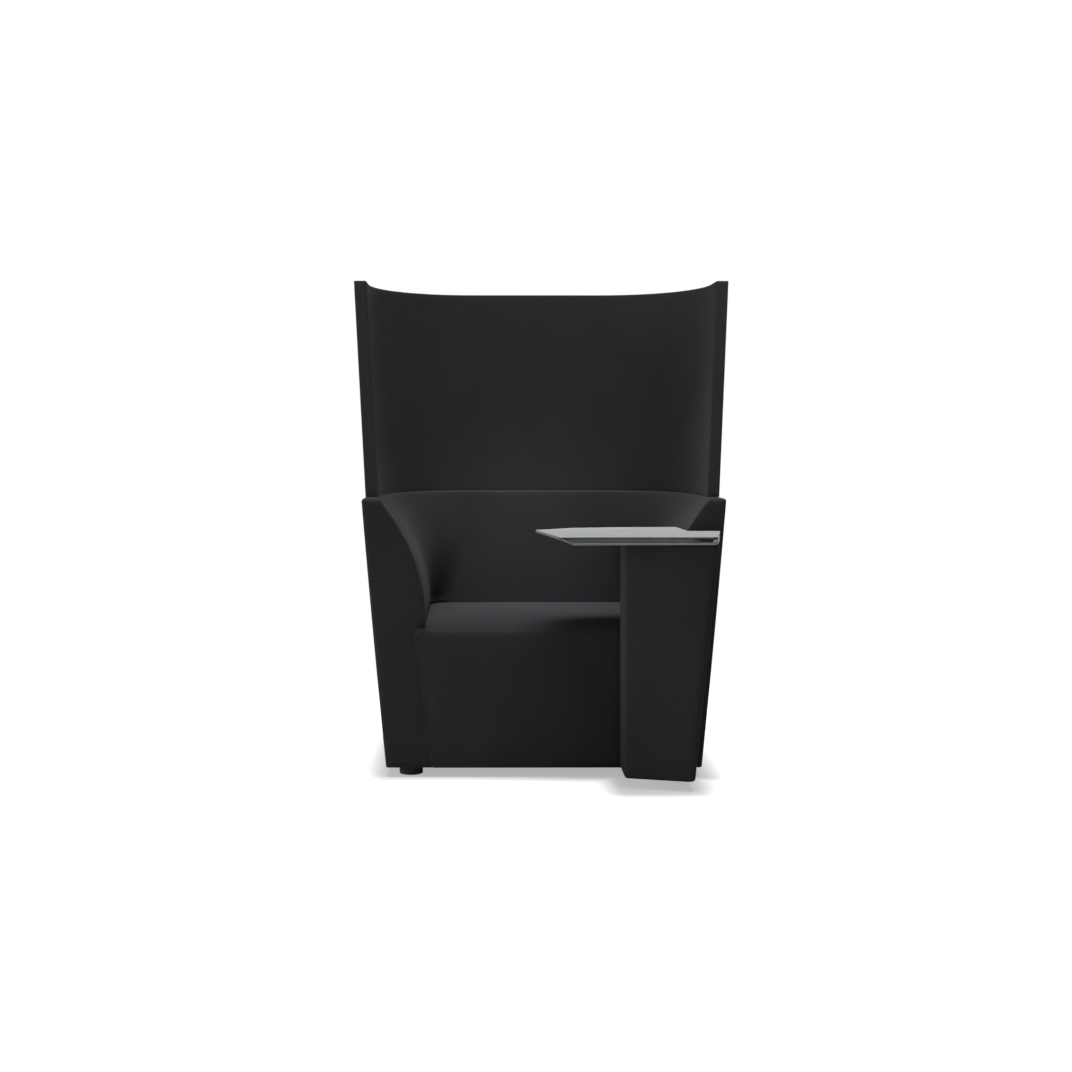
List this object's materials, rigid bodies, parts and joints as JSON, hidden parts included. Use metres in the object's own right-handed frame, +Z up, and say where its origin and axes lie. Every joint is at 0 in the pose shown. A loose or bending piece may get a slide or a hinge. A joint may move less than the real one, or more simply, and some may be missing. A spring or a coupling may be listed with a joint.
{
  "type": "acoustic high back lounge chair",
  "caption": "Upholstered tub lounge chair with a tall curved acoustic screen on its rim and a swivelling tablet with an open slot on an upholstered pedestal.",
  "frame": {"origin": "on the floor, under the middle of the chair's bounding box", "axes": "+Z up, +Y towards the chair's back, +X towards the pedestal (the sitter's left)"},
  "size_m": [1.0754, 1.0342, 1.3805],
  "materials": {
    "upholstery": "fine matt woven wool cloth",
    "screen_felt": "matt acoustic cloth over a soft layer",
    "plywood": "raw birch plywood",
    "steel": "zinc plated",
    "nylon": "moulded nylon",
    "foot_plastic": "moulded, satin",
    "base_cloth": "black non-woven cloth",
    "tablet_laminate": "satin light grey laminate"
  },
  "bodies": {
    "chair": {"tub_cover": "upholstery", "seat_cushion": "upholstery", "pedestal_cover": "upholstery", "screen_cover": "screen_felt", "screen_core": "plywood", "base_plate": "plywood", "seat_front_board": "plywood", "seat_rear_board": "plywood", "seat_deck": "plywood", "back_panel": "plywood", "seat_side_board_left": "plywood", "seat_side_board_right": "plywood", "arm_former_front_left": "plywood", "arm_former_front_right": "plywood", "arm_former_rear_left": "plywood", "arm_former_rear_right": "plywood", "pedestal_base_board": "plywood", "pedestal_top_board": "plywood", "pedestal_back_board": "plywood", "screen_bar_left": "steel", "screen_bar_right": "steel", "screen_bar_back_left": "steel", "screen_bar_back_right": "steel", "foot_stud_front_left": "steel", "foot_stud_front_right": "steel", "foot_stud_rear_left": "steel", "foot_stud_rear_right": "steel", "foot_nut_front_left": "steel", "foot_nut_front_right": "steel", "foot_nut_rear_left": "steel", "foot_nut_rear_right": "steel", "pedestal_post": "steel", "pedestal_head": "steel", "pedestal_bracket_lower": "steel", "pedestal_bracket_upper": "steel", "swivel_housing": "steel", "swivel_bush_lower": "nylon", "swivel_bush_upper": "nylon", "swivel_washer": "nylon", "foot_front_left": "foot_plastic", "foot_front_right": "foot_plastic", "foot_rear_left": "foot_plastic", "foot_rear_right": "foot_plastic", "base_cloth": "base_cloth"},
    "tablet": {"tablet_top": "tablet_laminate", "tablet_wall": "tablet_laminate", "tablet_shelf": "tablet_laminate", "swivel_plate": "steel", "swivel_shaft": "steel", "swivel_collar": "steel"}
  },
  "joints": [
    {"name": "tablet_swivel", "type": "hinge", "parent": "chair", "child": "tablet", "pos_m": [0.415, -0.3425, 0.65], "axis": [0, 0, 1], "range_deg": [0, 90]}
  ]
}
